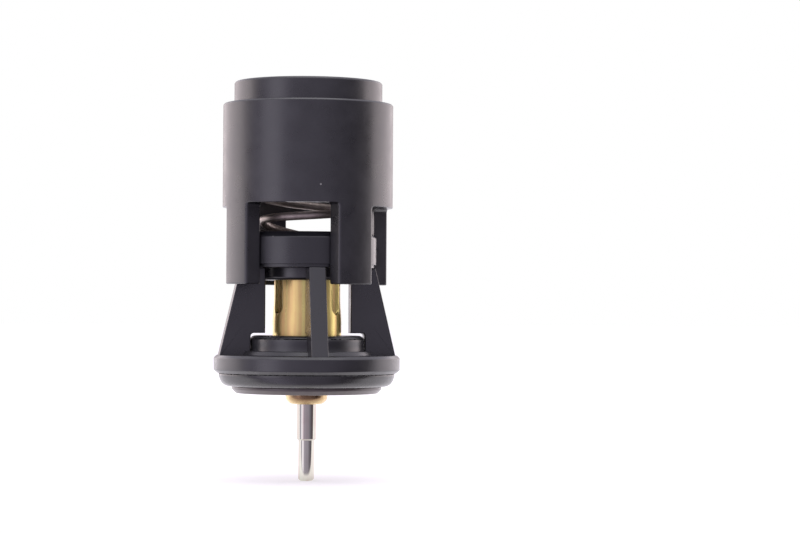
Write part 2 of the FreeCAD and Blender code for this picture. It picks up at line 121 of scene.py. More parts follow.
def spun(points, angle):
    """The points turned about the axis by the angle a in degrees: x cos a - y sin a, x sin a + y cos a."""
    c, s = math.cos(math.radians(angle)), math.sin(math.radians(angle))
    x, y, z = np.moveaxis(points, -1, 0)
    return np.stack([c * x - s * y, s * x + c * y, z], axis=-1)


def piece(name, surfaces, body, replaced, material):
    """One mesh from grids of points in millimetres. Each grid is joined to itself along its second
    direction, and along its first one where the flag beside it says so. Points that lie closer than
    half a thousandth of a millimetre become one."""
    points, faces, used = [], [], 0
    for grid, wraps in surfaces:
        rows, columns = grid.shape[:2]
        index = used + np.arange(rows * columns).reshape(rows, columns)
        ahead = np.roll(index, -1, axis=0)
        if not wraps:
            index, ahead = index[:-1], ahead[:-1]
        beside, across = np.roll(index, -1, axis=1), np.roll(ahead, -1, axis=1)
        faces.append(np.stack([index, ahead, across, beside], axis=-1).reshape(-1, 4))
        points.append(grid.reshape(-1, 3) * MM)
        used += rows * columns
    mesh = bpy.data.meshes.new(name)
    mesh.from_pydata(np.concatenate(points).tolist(), [], np.concatenate(faces).tolist())
    shape = bmesh.new()
    shape.from_mesh(mesh)
    bmesh.ops.remove_doubles(shape, verts=shape.verts, dist=0.0005 * MM)
    bmesh.ops.dissolve_degenerate(shape, edges=shape.edges, dist=0.00001 * MM)
    loose = [edge for edge in shape.edges if not edge.link_faces]
    bmesh.ops.delete(shape, geom=loose, context="EDGES")
    bmesh.ops.recalc_face_normals(shape, faces=shape.faces)
    shape.to_mesh(mesh)
    shape.free()
    mesh.polygons.foreach_set("use_smooth", np.ones(len(mesh.polygons), bool))
    mesh.materials.append(material)
    made = bpy.data.objects.new(name, mesh)
    bpy.context.scene.collection.objects.link(made)
    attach(made, body)
    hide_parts(replaced)
    return made


def add(tree, kind, inputs=None, **settings):
    """Adds a shader node. An input is a plain value or another node's output."""
    node = tree.nodes.new(f"ShaderNode{kind}")
    for name, value in settings.items():
        setattr(node, name, value)
    for name, value in (inputs or {}).items():
        socket = node.inputs[name]
        if isinstance(value, bpy.types.NodeSocket):
            tree.links.new(value, socket)
        else:
            socket.default_value = value
    return node


def ramp(tree, value, low, high, start=0.0, end=1.0):
    """A number that goes evenly from start to end while the value goes from low to high."""
    return add(tree, "MapRange", {"Value": value, "From Min": low, "From Max": high, "To Min": start,
                                  "To Max": end}).outputs["Result"]


def product(tree, first, second):
    """Two numbers multiplied."""
    return add(tree, "Math", {0: first, 1: second}, operation="MULTIPLY").outputs[0]


def mixed(tree, mask, low, high):
    """A colour that goes from low to high with the mask."""
    node = add(tree, "Mix", data_type="RGBA")
    sockets = {socket.identifier: socket for socket in node.inputs}
    tree.links.new(mask, sockets["Factor_Float"])
    for name, colour in (("A_Color", low), ("B_Color", high)):
        if isinstance(colour, bpy.types.NodeSocket):
            tree.links.new(colour, sockets[name])
        else:
            sockets[name].default_value = (*colour, 1)
    return next(socket for socket in node.outputs if socket.identifier == "Result_Color")


def effect(name, inputs, outputs):
    """An empty node group with named inputs and outputs, and its two end nodes."""
    group = bpy.data.node_groups.new(name, "ShaderNodeTree")
    for label, value in inputs.items():
        group.interface.new_socket(label, in_out="INPUT", socket_type="NodeSocketFloat").default_value = value
    for label, kind in outputs.items():
        group.interface.new_socket(label, in_out="OUTPUT", socket_type=f"NodeSocket{kind}")
    return group, group.nodes.new("NodeGroupInput").outputs, group.nodes.new("NodeGroupOutput").inputs


def new_material(name, metallic=0.0):
    """A material, its node tree and its Principled shader."""
    material = bpy.data.materials.new(name)
    material.use_nodes = True
    surface = material.node_tree.nodes["Principled BSDF"]
    surface.inputs["Metallic"].default_value = metallic
    return material, material.node_tree, surface


def moulded_skin():
    """Skin of a moulding or rubber part: a fine grain, slow changes of gloss, and pale specks of dust.
    A speck is the middle of a cell, in the share of the cells whose chance is under Specks."""
    group, given, out = effect(
        "moulded_skin", {"Grain": 2600.0, "Depth": 0.1, "Cloud": 120.0, "Specks": 0.1},
        {"Normal": "Vector", "Cloud": "Float", "Speck": "Float"})
    place = add(group, "TexCoord").outputs["Object"]
    grain = add(group, "TexNoise", {"Vector": place, "Scale": given["Grain"], "Detail": 3.0})
    bump = add(group, "Bump", {"Height": grain.outputs["Fac"], "Strength": given["Depth"],
                               "Distance": 0.02 * MM})
    cloud = add(group, "TexNoise", {"Vector": place, "Scale": given["Cloud"], "Detail": 5.0,
                                    "Roughness": 0.65})
    cells = add(group, "TexVoronoi", {"Vector": place, "Scale": 330.0})
    chance = add(group, "SeparateColor", {"Color": cells.outputs["Color"]})
    rare = add(group, "Math", {0: chance.outputs["Red"], 1: given["Specks"]}, operation="LESS_THAN")
    dot = ramp(group, cells.outputs["Distance"], 0.06, 0.11, start=1.0, end=0.0)
    group.links.new(bump.outputs["Normal"], out["Normal"])
    group.links.new(ramp(group, cloud.outputs["Fac"], 0.32, 0.68), out["Cloud"])
    group.links.new(product(group, rare.outputs[0], dot), out["Speck"])
    return group


skin = moulded_skin()
dust_colour = (0.35, 0.34, 0.33)


def moulding(name, colour, cloudy, gloss, specks, grain=2600.0, depth=0.1, ior=1.72):
    """A moulded material: its colour drifts from the first to the second value with the gloss, and
    the specks are pale. Gloss is the lowest and the highest roughness."""
    material, tree, surface = new_material(name)
    surface.inputs["IOR"].default_value = ior
    look = add(tree, "Group", node_tree=skin)
    for label, value in (("Grain", grain), ("Depth", depth), ("Specks", specks)):
        look.inputs[label].default_value = value
    base = mixed(tree, look.outputs["Cloud"], colour, cloudy)
    tree.links.new(mixed(tree, look.outputs["Speck"], base, dust_colour), surface.inputs["Base Color"])
    tree.links.new(ramp(tree, look.outputs["Cloud"], 0.0, 1.0, *gloss), surface.inputs["Roughness"])
    tree.links.new(look.outputs["Normal"], surface.inputs["Normal"])
    return material


def tab(left_top, right_top):
    """A tab: a rounded block in plan, carried down from the window's top. It widens into the windows'
    corners above by R - sqrt(R^2 - (R - d)^2) at the depth d, and draws in round its lower edges.
    A point at radius r and width w stands at x = sqrt(r^2 - w^2), y = w."""
    middle, half_wall = (body_radius + bore_radius) / 2, (body_radius - bore_radius) / 2 + apart
    half_width = tab_width / 2
    plan = rounded([(-half_wall, -half_width, inner_edge), (half_wall, -half_width, tab_edge),
                    (half_wall, half_width, tab_edge), (-half_wall, half_width, inner_edge)], runs=10)
    corner_turn, foot_turn = np.linspace(0, math.pi / 2, 8), np.linspace(0, math.pi / 2, 7)
    heights = np.concatenate([
        [window_top + tab_root, window_top + tab_root - 0.02],
        window_top - window_corner * (1 - np.cos(corner_turn)),
        np.linspace(window_top, rear_window_top, 9) - window_corner - 0.1,
        np.linspace(rear_window_top - window_corner - 0.5, sleeve_low + tab_foot + 0.25, 5),
        sleeve_low + tab_foot * (1 - np.sin(foot_turn))])
    top = np.where(plan[:, 1] < 0, left_top, right_top)[None]
    depth = np.clip(top - heights[:, None], 0, window_corner)
    flare = window_corner - np.sqrt(window_corner ** 2 - (window_corner - depth) ** 2)
    draw_in = np.zeros((len(heights), 1))
    draw_in[-len(foot_turn):, 0] = tab_foot * (1 - np.cos(foot_turn))
    wide = 1 + (flare - draw_in) / half_width
    thick = 1 - draw_in / half_wall
    radius, width = middle + plan[:, 0][None] * thick, plan[:, 1][None] * wide
    rows = np.stack([np.sqrt(radius ** 2 - width ** 2), width, heights[:, None] + 0 * width], axis=-1)
    return closed_ends(rows)


def nose():
    """A nose: a wedge in outline, carried across the inside of a tab. A point at radius r and width w
    stands at x = sqrt(r^2 - w^2), y = w."""
    root, tip, low = bore_radius + nose_root, bore_radius - nose_reach, nose_top - nose_height
    wedge = rounded([(root, low, 0.1), (bore_radius, low, 0.1), (tip, nose_top - nose_flat, 0.2),
                     (tip, nose_top, 0.15), (root, nose_top, 0.1)])
    across = np.linspace(-nose_half, nose_half, 9)[:, None]
    radius, height = wedge[:, 0][None], wedge[:, 1][None]
    return closed_ends(np.stack([np.sqrt(radius ** 2 - across ** 2), across + 0 * radius,
                                 height + 0 * across], axis=-1))


sleeve_material = moulding("sleeve_plastic", (0.0125, 0.012, 0.0145), (0.021, 0.02, 0.0245), (0.25, 0.36),
                           specks=0.04)
shell = turned(rounded([
    (bore_radius, window_top, 0.2),
    (body_radius, window_top, 0.2),
    (body_radius, -shoulder_chamfer, 0.15),
    (body_radius - shoulder_chamfer, 0.0, 0.15),
    (neck_radius, 0.0, 0.1),
    (neck_radius, sleeve_high - rim_chamfer, 0.25),
    (neck_radius - rim_chamfer, sleeve_high, 0.25),
    (opening_radius, sleeve_high, 0.3),
    (opening_radius, sleeve_high - ledge_wall, 0.3),
    (neck_radius - neck_wall, sleeve_high - ledge_wall, 0.3),
    (neck_radius - neck_wall, -shoulder_wall, 0.3),
    (bore_radius, -shoulder_wall, 0.3),
]))
# The front window reaches up furthest and the rear one least. The wall's lower edge steps down
# inside the tabs, whose middles stand at two angles from the front window.
off_front = np.degrees(np.arctan2(shell[..., 1], shell[..., 0])) - front_window
off_front = np.abs((off_front + 180) % 360 - 180)
edge_height = np.interp(
    off_front, (0, near_tab - half_step, near_tab + half_step, far_tab - half_step, far_tab + half_step, 180),
    (window_top, window_top, side_window_top, side_window_top, rear_window_top, rear_window_top))
lower_edge = shell[..., 2] < window_top + 0.3
shell[..., 2] += lower_edge * (edge_height - window_top)

sleeve_parts = [(shell, True)]
for turn, left_top, right_top in (
        (first_tab, side_window_top, rear_window_top), (second_tab, rear_window_top, side_window_top),
        (first_tab + 180, side_window_top, window_top), (second_tab + 180, window_top, side_window_top)):
    sleeve_parts += [(spun(tab(left_top, right_top), turn), False), (spun(nose(), turn), False)]
piece("sleeve_moulding", sleeve_parts, "sleeve", "sleeve", sleeve_material)


# Return spring: steel wire wound into an open coil, with its end turns closed and ground flat.
# It stands on the collar's floor and pushes against the ledge under the neck, and it is squeezed
# as the valve lifts.
spring_low, spring_high = (corner.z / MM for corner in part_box("return_spring"))
spring_radius, wire_radius, ground_share = 13.1, 1.2, 0.8
wire_turns = (0, 0.75, 1.0, 1.25, 1.5, 1.9, 6.3, 7.1)
wire_heights = (0, 1.3, 4.9, 8.9, 10.35, 13.5, 43.0, 45.0)
wire_start, steps_in_turn, steps_evened = 81.6, 96, 13
coil_lean, lean_bearing = 0.022, -8.4


def drawn_streaks():
    """Long marks that run along Z round a turned or drawn part: noise that is stretched upwards, once
    fine and once in broad bands, and noise in even patches."""
    group, given, out = effect(
        "drawn_streaks", {"Fineness": 900.0, "Length": 0.03, "Depth": 0.2, "Bands": 300.0},
        {"Normal": "Vector", "Streak": "Float", "Blotch": "Float", "Band": "Float"})
    place = add(group, "TexCoord").outputs["Object"]
    stretch = add(group, "CombineXYZ", {"X": 1.0, "Y": 1.0, "Z": given["Length"]})
    long = add(group, "VectorMath", {0: place, 1: stretch.outputs[0]}, operation="MULTIPLY").outputs[0]
    marks = add(group, "TexNoise", {"Vector": long, "Scale": given["Fineness"], "Detail": 4.0,
                                    "Roughness": 0.6})
    bands = add(group, "TexNoise", {"Vector": long, "Scale": given["Bands"], "Detail": 1.0})
    patches = add(group, "TexNoise", {"Vector": place, "Scale": 240.0, "Detail": 4.0, "Roughness": 0.6})
    bump = add(group, "Bump", {"Height": marks.outputs["Fac"], "Strength": given["Depth"],
                               "Distance": 0.03 * MM})
    group.links.new(bump.outputs["Normal"], out["Normal"])
    group.links.new(ramp(group, marks.outputs["Fac"], 0.3, 0.7), out["Streak"])
    group.links.new(ramp(group, patches.outputs["Fac"], 0.35, 0.65), out["Blotch"])
    group.links.new(ramp(group, bands.outputs["Fac"], 0.38, 0.62), out["Band"])
    return group


streaks = drawn_streaks()


def drawn_metal(name, colour, dark, gloss, fineness, length, depth, bands=300.0, banded=0.0, metallic=1.0):
    """A metal with long marks. The colour goes from the first to the second value with the fine marks,
    and with the broad bands by the share banded, and gloss is the lowest and the highest roughness."""
    material, tree, surface = new_material(name, metallic)
    look = add(tree, "Group", node_tree=streaks)
    for label, value in (("Fineness", fineness), ("Length", length), ("Depth", depth), ("Bands", bands)):
        look.inputs[label].default_value = value
    fine = product(tree, product(tree, look.outputs["Streak"], look.outputs["Blotch"]), 1 - banded)
    tone = add(tree, "Math", {0: look.outputs["Band"], 1: banded, 2: fine}, operation="MULTIPLY_ADD")
    tree.links.new(mixed(tree, tone.outputs[0], colour, dark), surface.inputs["Base Color"])
    tree.links.new(ramp(tree, look.outputs["Streak"], 0.0, 1.0, *gloss), surface.inputs["Roughness"])
    tree.links.new(look.outputs["Normal"], surface.inputs["Normal"])
    return material


def coil():
    """A round wire carried along a helix: x = R cos a, y = R sin a. Its height follows the climb of the
    real coil, evened over a few steps: nearly flat at the closed ends, steep just above the lower one
    and even from there. The middle turns lean by a share of their distance to one side, and the
    wire's outer side is cut flat at both ends."""
    turn = np.linspace(0, wire_turns[-1], int(wire_turns[-1] * steps_in_turn))
    climb = np.interp(turn, wire_turns, wire_heights)
    weights = np.hanning(steps_evened + 2)[1:-1]
    padded = np.pad(climb, steps_evened // 2, mode="reflect", reflect_type="odd")
    climb = np.convolve(padded, weights / weights.sum(), mode="valid")
    seat = ground_share * wire_radius
    height = spring_low + seat + climb * (spring_high - spring_low - 2 * seat) / climb[-1]
    place = 2 * math.pi * turn + math.radians(wire_start)
    x, y = spring_radius * np.cos(place), spring_radius * np.sin(place)
    free = np.clip(turn, 0, 1) * np.clip(wire_turns[-1] - turn, 0, 1)
    aside = x * math.cos(math.radians(lean_bearing)) + y * math.sin(math.radians(lean_bearing))
    centre = np.stack([x, y, height - coil_lean * free * aside], axis=-1)
    along = np.gradient(centre, axis=0)
    along /= np.linalg.norm(along, axis=1, keepdims=True)
    outward = np.stack([np.cos(place), np.sin(place), 0 * place], axis=-1)
    upward = np.cross(outward, along)
    round_wire = np.linspace(0, 2 * math.pi, 20, endpoint=False)[None, :, None]
    rows = (centre[:, None] + wire_radius * (np.cos(round_wire) * outward[:, None]
                                             + np.sin(round_wire) * upward[:, None]))
    rows[..., 2] = np.clip(rows[..., 2], spring_low, spring_high)
    return closed_ends(rows)


spring_material = drawn_metal("spring_steel", (0.52, 0.45, 0.41), (0.3, 0.24, 0.22), (0.42, 0.55),
                              fineness=700.0, length=1.0, depth=0.1, metallic=0.65)
spring = piece("spring_coil", [(coil(), False)], "sleeve", "return_spring", spring_material)
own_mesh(spring)


# Valve frame: the moulding that everything below the sleeve is built on. A round flange carries a
# raised ring and four tapering legs, and a hub joins the legs above. It slides with the element.
frame_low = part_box("valve_frame")[0].z / MM
flange_thickness, flange_radius, upper_chamfer = 5.2, 27.0, 0.8
flange_top = frame_low + flange_thickness
lower_chamfer, lower_chamfer_height = 1.1, 0.95
ring_radius, ring_height, ring_lean = 19.2, 1.25, 0.8
room_radius = 16.74
leg_thickness, leg_foot, leg_top, leg_inner = 4.8, 25.75, 19.75, 12.5
leg_height, leg_step, leg_root, leg_edge, leg_count = 25.3, 6.4, 0.4, 0.3, 4
hub_radius, hub_thickness, hub_bore, hub_chamfer = 13.0, 3.6, 9.7, 0.7


def drawn_in(corners, inset):
    """The corners of an outline moved inwards, so that each side shifts by the inset along its own
    normal: the shift of a corner is (n1 + n2) / (1 + n1.n2), with its sides' normals n1 and n2."""
    corners = np.array(corners, float)
    along = np.roll(corners[:, :2], -1, axis=0) - corners[:, :2]
    along /= np.linalg.norm(along, axis=1, keepdims=True)
    after = np.stack([-along[:, 1], along[:, 0]], axis=-1)
    before = np.roll(after, 1, axis=0)
    shift = (before + after) / (1 + (before * after).sum(axis=1, keepdims=True))
    return np.concatenate([corners[:, :2] + inset * shift, corners[:, 2:]], axis=1)


def slab(corners, half, ease, steps=6):
    """A side outline carried across from -half to half. Its faces are eased all round: at the distance
    e (1 - cos t) from a face the outline is drawn in by e (1 - sin t), and by a little more on it."""
    t = np.linspace(0, math.pi / 2, steps)
    depth = np.concatenate([[0], ease * (1 - np.cos(t))])
    inset = np.concatenate([[ease + 0.1], ease * (1 - np.sin(t))])
    sides = np.stack([rounded(drawn_in(corners, value)) for value in inset])
    sides = np.concatenate([sides, sides[::-1]])
    width = np.concatenate([depth - half, (half - depth)[::-1]])[:, None]
    return closed_ends(np.stack([sides[..., 0], width + 0 * sides[..., 0], sides[..., 1]], axis=-1))


def leg():
    """A leg: its side outline leans in on the outside, and has a rounded step for the holder's room."""
    return slab([
        (room_radius, flange_top - leg_root, 0.1),
        (leg_foot, flange_top - leg_root, 0.1),
        (leg_foot, flange_top, 0.1),
        (leg_top, hub_top - apart, 0.3),
        (leg_inner, hub_top - apart, 0.2),
        (leg_inner, flange_top + leg_step, 0.2),
        (room_radius, flange_top + leg_step, 1.1),
    ], leg_thickness / 2, leg_edge)


frame_material = moulding("frame_plastic", (0.0135, 0.013, 0.0155), (0.022, 0.021, 0.0255), (0.25, 0.36),
                          specks=0.04)
flange = turned(rounded([
    (room_radius, frame_low, 0.2),
    (flange_radius - lower_chamfer, frame_low, 0.15),
    (flange_radius, frame_low + lower_chamfer_height, 0.2),
    (flange_radius, flange_top - upper_chamfer, 0.2),
    (flange_radius - upper_chamfer, flange_top, 0.2),
    (ring_radius, flange_top, 0.15),
    (ring_radius - ring_lean, flange_top + ring_height, 0.3),
    (room_radius, flange_top + ring_height, 0.2),
]))
hub_top = flange_top + leg_height
hub_low = hub_top - hub_thickness
hub = turned(rounded([
    (hub_bore, hub_low, 0.2),
    (hub_radius - hub_chamfer, hub_low, 0.2),
    (hub_radius, hub_low + hub_chamfer, 0.2),
    (hub_radius, hub_top - apart, 0.1),
    (hub_bore, hub_top - apart, 0.1),
]))
frame_parts = [(flange, True), (hub, True)]
frame_parts += [(spun(leg(), 360 * number / leg_count), False) for number in range(leg_count)]
piece("valve_cage", frame_parts, "valve", "valve_frame", frame_material)


# Bypass collar: a moulded ring with a floor, seated on the hub over the element's closed end. Its
# outside slides in the sleeve's bore and closes the windows, and the spring stands in its recess.
collar_low, collar_high = (corner.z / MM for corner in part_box("bypass_collar"))
collar_radius, collar_wall, collar_chamfer = 20.0, 2.8, 1.55
foot_inset, foot_height, pocket_top = 0.6, 0.9, collar_low + 2.2
collar_floor, collar_boss, boss_radius = collar_low + 3.4, collar_low + 8.0, 11.5
core, core_ease = 0.01, 0.002
collar = turned(rounded([
    (hub_bore, collar_low, 0.1),
    (collar_radius - foot_inset, collar_low, 0.15),
    (collar_radius - foot_inset, collar_low + foot_height, 0.1),
    (collar_radius, collar_low + foot_height, 0.15),
    (collar_radius, collar_high - collar_chamfer, 0.3),
    (collar_radius - collar_chamfer, collar_high, 0.3),
    (collar_radius - collar_wall, collar_high, 0.2),
    (collar_radius - collar_wall, collar_floor, 0.2),
    (boss_radius, collar_floor, 0.2),
    (boss_radius, collar_boss, 0.4),
    (core, collar_boss, core_ease),
    (core, pocket_top, core_ease),
    (hub_bore, pocket_top, 0.2),
]))
collar_material = moulding("collar_plastic", (0.012, 0.012, 0.015), (0.015, 0.015, 0.019), (0.26, 0.34),
                           specks=0.01, ior=1.66)
piece("collar_ring", [(collar, True)], "valve", "bypass_collar", collar_material)


# Element holder: a smooth moulded ring pushed up through the flange from below. Its rounded top
# grips the brass cup, and its side is drawn in a little between two edges.
holder_low, holder_high = (corner.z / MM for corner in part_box("element_holder"))
holder_radius, cup_hole, chamber, chamber_top = 16.7, 10.1, 12.2, flange_top + 1.0
holder = turned(rounded([
    (chamber, holder_low, 0.1),
    (holder_radius, holder_low, 0.1),
    (holder_radius, flange_top + 0.9, 0.15),
    (holder_radius - 0.2, flange_top + 2.0, 0.8),
    (holder_radius - 0.1, flange_top + 4.4, 0.5),
    (holder_radius - 0.4, holder_high - 0.5, 0.5),
    (holder_radius - 1.2, holder_high, 0.5),
    (cup_hole, holder_high, 0.3),
    (cup_hole, chamber_top, 0.2),
    (chamber, chamber_top, 0.2),
]))
holder_material = moulding("holder_plastic", (0.013, 0.013, 0.016), (0.018, 0.018, 0.021), (0.26, 0.34),
                           specks=0.0, grain=1800.0)
piece("holder_ring", [(holder, True)], "valve", "element_holder", holder_material)


# Main seal: a rubber ring clamped between the flange and the plate. Its lower edge is a quarter
# round, and it closes on the housing's seat.
seal_low, seal_high = (corner.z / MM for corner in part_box("main_seal"))
seal_radius, seal_bore = 25.6, holder_radius + 0.02
seal_height = seal_high - seal_low
seal = turned(rounded([
    (seal_bore, seal_low, 0.1),
    (seal_radius - seal_height, seal_low, 0.3),
    (seal_radius - 1.1, seal_low + 0.35, 1.75),
    (seal_radius, seal_high - 0.7, 0.6),
    (seal_radius - 0.15, seal_high, 0.2),
    (seal_bore, seal_high, 0.1),
], steps=10))
seal_material = moulding("seal_rubber", (0.013, 0.012, 0.0125), (0.019, 0.018, 0.019), (0.22, 0.32),
                         specks=0.02, grain=1500.0, depth=0.12)
piece("seal_ring", [(seal, True)], "valve", "main_seal", seal_material)


# Seal plate: a moulded disc with a chamfered edge, which clamps the seal to the flange. The guide's
# boss comes through it.
plate_low, plate_high = (corner.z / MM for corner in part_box("seal_plate"))
plate_radius, plate_chamfer, boss_hole = 21.7, 1.2, 6.2
plate = turned(rounded([
    (boss_hole, plate_low, 0.15),
    (plate_radius - plate_chamfer, plate_low, 0.25),
    (plate_radius, plate_low + plate_chamfer, 0.25),
    (plate_radius, plate_high, 0.15),
    (boss_hole, plate_high, 0.15),
]))
plate_material = moulding("plate_plastic", (0.09, 0.069, 0.065), (0.125, 0.099, 0.094), (0.28, 0.38),
                          specks=0.03)
piece("plate_disc", [(plate, True)], "valve", "seal_plate", plate_material)


# Element cup: drawn from brass strip, with a neck above, three flats pressed into its side, and a
# rolled mouth round the guide below. The wax inside swells when it warms.
cup_low, cup_high = (corner.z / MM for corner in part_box("element_cup"))
cup_radius, cup_neck, crimp_radius, mouth_radius, crimp_wall = 10.0, 9.6, 12.1, 11.2, 0.6
shoulder, taper_low, taper_high = flange_top + 0.4, flange_top + 10.0, flange_top + 15.5
flat_depth, flat_low, flat_half, flat_turn, flat_edge = 0.35, 11.8, 2.3, 81.6, 0.35
pressed_from = 8.6


def cup():
    """The cup's outline turned about the axis, and pressed flat on three sides: the radius in a flat's
    direction is at most the flat's distance over the cosine of the angle from it, and the flat's
    lower end is a half circle. The press fades by 3s^2 - 2s^3 over the flat's edge."""
    outline = rounded([
        (mouth_radius, cup_low + 0.01, 0.1),
        (crimp_radius, cup_low, 0.4),
        (crimp_radius, shoulder, 0.3),
        (cup_radius, shoulder, 0.1),
        (cup_radius, taper_low, 1.5),
        (cup_neck, taper_high, 1.5),
        (cup_neck, cup_high, 1.4),
        (core, cup_high, core_ease),
        (core, cup_low + crimp_wall, core_ease),
        (mouth_radius, cup_low + crimp_wall, 0.1),
    ], runs=16)
    points = turned(outline, 360)
    height = points[..., 2] - flange_top
    reach = np.hypot(points[..., 0], points[..., 1])
    turn = np.arctan2(points[..., 1], points[..., 0]) - math.radians(flat_turn)
    third = 2 * math.pi / 3
    off = (turn + third / 2) % third - third / 2
    end_gap = np.clip(flat_low + flat_half - height, 0, None)
    inside = np.clip((flat_half - np.hypot(reach * np.sin(off), end_gap)) / flat_edge, 0, 1)
    inside = inside * inside * (3 - 2 * inside) * (height > flat_low - 1) * (reach > pressed_from)
    flat = (cup_neck - flat_depth) / np.cos(off)
    pressed = reach + inside * (np.minimum(reach, flat) - reach)
    points[..., :2] *= (pressed / reach)[..., None]
    return points


cup_material = drawn_metal("cup_brass", (0.76, 0.66, 0.24), (0.66, 0.42, 0.19), (0.25, 0.37),
                           fineness=1100.0, length=0.02, depth=0.2, bands=520.0, banded=0.7)
piece("brass_cup", [(cup(), True)], "valve", "element_cup", cup_material)


# Piston guide: turned brass, held in the cup's rolled mouth. Its boss stands out below the plate
# and carries the pin. The wiper sits in a groove inside it.
guide_low, guide_high = (corner.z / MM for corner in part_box("piston_guide"))
guide_radius, guide_bore, guide_body, guide_flange = 6.1, 2.9, 10.7, 11.2
guide_chamfer, flange_low = 1.41, guide_high - 2.1
washer_room, washer_floor = 4.5, guide_high - 2.0
groove_radius, groove_high, groove_low = guide_bore + 0.9, flange_top - 10.9, flange_top - 12.2
guide = turned(rounded([
    (guide_bore, guide_low, 0.2),
    (guide_radius - guide_chamfer, guide_low, 0.75),
    (guide_radius, guide_low + guide_chamfer, 0.75),
    (guide_radius, plate_high, 0.1),
    (guide_body, plate_high, 0.1),
    (guide_body, flange_low, 0.1),
    (guide_flange, flange_low, 0.1),
    (guide_flange, guide_high, 0.1),
    (washer_room, guide_high, 0.1),
    (washer_room, washer_floor, 0.1),
    (guide_bore, washer_floor, 0.1),
    (guide_bore, groove_high, 0.05),
    (groove_radius, groove_high, 0.05),
    (groove_radius, groove_low, 0.05),
    (guide_bore, groove_low, 0.05),
]))
guide_material = drawn_metal("guide_brass", (0.8, 0.64, 0.34), (0.5, 0.32, 0.18), (0.2, 0.34),
                             fineness=600.0, length=0.7, depth=0.9)
# Painted reflection: the brass's colour is darkened where it is seen face on and left bright at its sides, so
# it gives back less light face on, standing in for the dark room in front that it mirrors.
guide_tree = guide_material.node_tree
guide_colour = guide_tree.nodes["Principled BSDF"].inputs["Base Color"]
facing = add(guide_tree, "LayerWeight", {"Blend": 0.5}).outputs["Facing"]
guide_tree.links.new(mixed(guide_tree, ramp(guide_tree, facing, 0.15, 0.65), (0.24, 0.15, 0.085),
                           guide_colour.links[0].from_socket), guide_colour)
piece("guide_boss", [(guide, True)], "valve", "piston_guide", guide_material)


# Piston pin: ground steel with a thinner tip. It stands in the rubber boot inside the cup, and its
# tip bears on the housing's cover.
pin_low, pin_high = (corner.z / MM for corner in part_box("piston_pin"))
pin_radius, tip_radius, pin_step = 2.85, 2.35, flange_top - 24.6
tip_chamfer, step_chamfer, inner_end, inner_taper = 0.5, 0.25, 1.4, 5.0
pin = turned(rounded([
    (core, pin_low, core_ease),
    (tip_radius - tip_chamfer, pin_low, 0.2),
    (tip_radius, pin_low + tip_chamfer, 0.25),
    (tip_radius, pin_step, 0.08),
    (pin_radius - step_chamfer, pin_step, 0.08),
    (pin_radius, pin_step + step_chamfer, 0.08),
    (pin_radius, pin_high - inner_taper, 0.5),
    (inner_end, pin_high, 0.3),
    (core, pin_high, core_ease),
]), 128)
pin_material = drawn_metal("pin_steel", (0.6, 0.61, 0.53), (0.5, 0.41, 0.37), (0.04, 0.09),
                           fineness=2600.0, length=0.01, depth=0.06, bands=900.0, banded=0.6)
piece("steel_pin", [(pin, True)], "piston", "piston_pin", pin_material)


# Inner parts: the wax, its rubber boot, washer, gasket and wiper can't be seen, and keep the
# solids that they have.
for node, slot_name, colour, roughness in (
        ("wax_charge", "wax", (0.6, 0.38, 0.25), 0.6),
        ("piston_boot", "inner_rubber", (0.03, 0.03, 0.03), 0.5),
        ("backup_washer", "washer_plastic", (0.8, 0.8, 0.78), 0.4),
        ("element_gasket", "inner_rubber", (0.03, 0.03, 0.03), 0.5),
        ("guide_wiper", "inner_rubber", (0.03, 0.03, 0.03), 0.5)):
    inner_material, _, inner_surface = new_material(f"{node}_finish")
    inner_surface.inputs["Base Color"].default_value = (*colour, 1)
    inner_surface.inputs["Roughness"].default_value = roughness
    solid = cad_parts[node]
    solid.data.materials.clear()
    solid.data.materials.append(inner_material)


# Floor: a sheet under the pin's tip, pale behind the part, and in front of it painted darker, as painted
# shade on the camera's side. The camera sees all of it white, but for the part's shadow. What shines mirrors
# it brighter near the part, and looks through its far front on to the room.
camera_side = -8.4
front = (math.sin(math.radians(camera_side)), -math.cos(math.radians(camera_side)), 0)
right = (math.cos(math.radians(camera_side)), math.sin(math.radians(camera_side)), 0)
floor_size, floor_height = 6.0, cad_box[0][2]
pale, shaded = (0.8, 0.78, 0.79), (0.25, 0.24, 0.25)
pale_lift, shaded_lift, mirrored_lift = 0.34, 0.77, 0.6
shade_start, shade_end = 0.022, 0.04
mirror_start, mirror_end = 0.02, 0.035
floor_mesh = bpy.data.meshes.new("floor")
floor_mesh.from_pydata([(floor_size * x, floor_size * y, floor_height) for x, y in
                        ((-1, -1), (1, -1), (1, 1), (-1, 1))], [], [(0, 1, 2, 3)])
floor = bpy.data.objects.new("floor", floor_mesh)
bpy.context.scene.collection.objects.link(floor)
floor_material = bpy.data.materials.new("pale_floor")
floor_material.use_nodes = True
sheet = floor_material.node_tree
sheet.nodes.clear()
spot = add(sheet, "TexCoord").outputs["Object"]
forward = add(sheet, "VectorMath", {0: spot, 1: front}, operation="DOT_PRODUCT").outputs["Value"]
shade = ramp(sheet, forward, shade_start, shade_end)
flat_spot = add(sheet, "VectorMath", {0: spot, 1: (1, 1, 0)}, operation="MULTIPLY").outputs[0]
off_axis = add(sheet, "VectorMath", {0: flat_spot}, operation="LENGTH").outputs["Value"]
far_front = product(sheet, ramp(sheet, off_axis, mirror_start, mirror_end), shade)
ray = add(sheet, "LightPath").outputs
to_camera = product(sheet, ray["Is Camera Ray"], ramp(sheet, shade, 0.0, 1.0, pale_lift, shaded_lift))
lift = add(sheet, "Math", {0: ray["Is Glossy Ray"], 1: ramp(sheet, shade, 0.0, 1.0, mirrored_lift, 0.0),
                           2: to_camera}, operation="MULTIPLY_ADD")
# Painted shade: the floor's colour turns from pale to dark in front of the part.
paint = add(sheet, "BsdfDiffuse", {"Color": mixed(sheet, shade, pale, shaded)})
glow = add(sheet, "Emission", {"Color": (1, 1, 1, 1), "Strength": lift.outputs[0]})
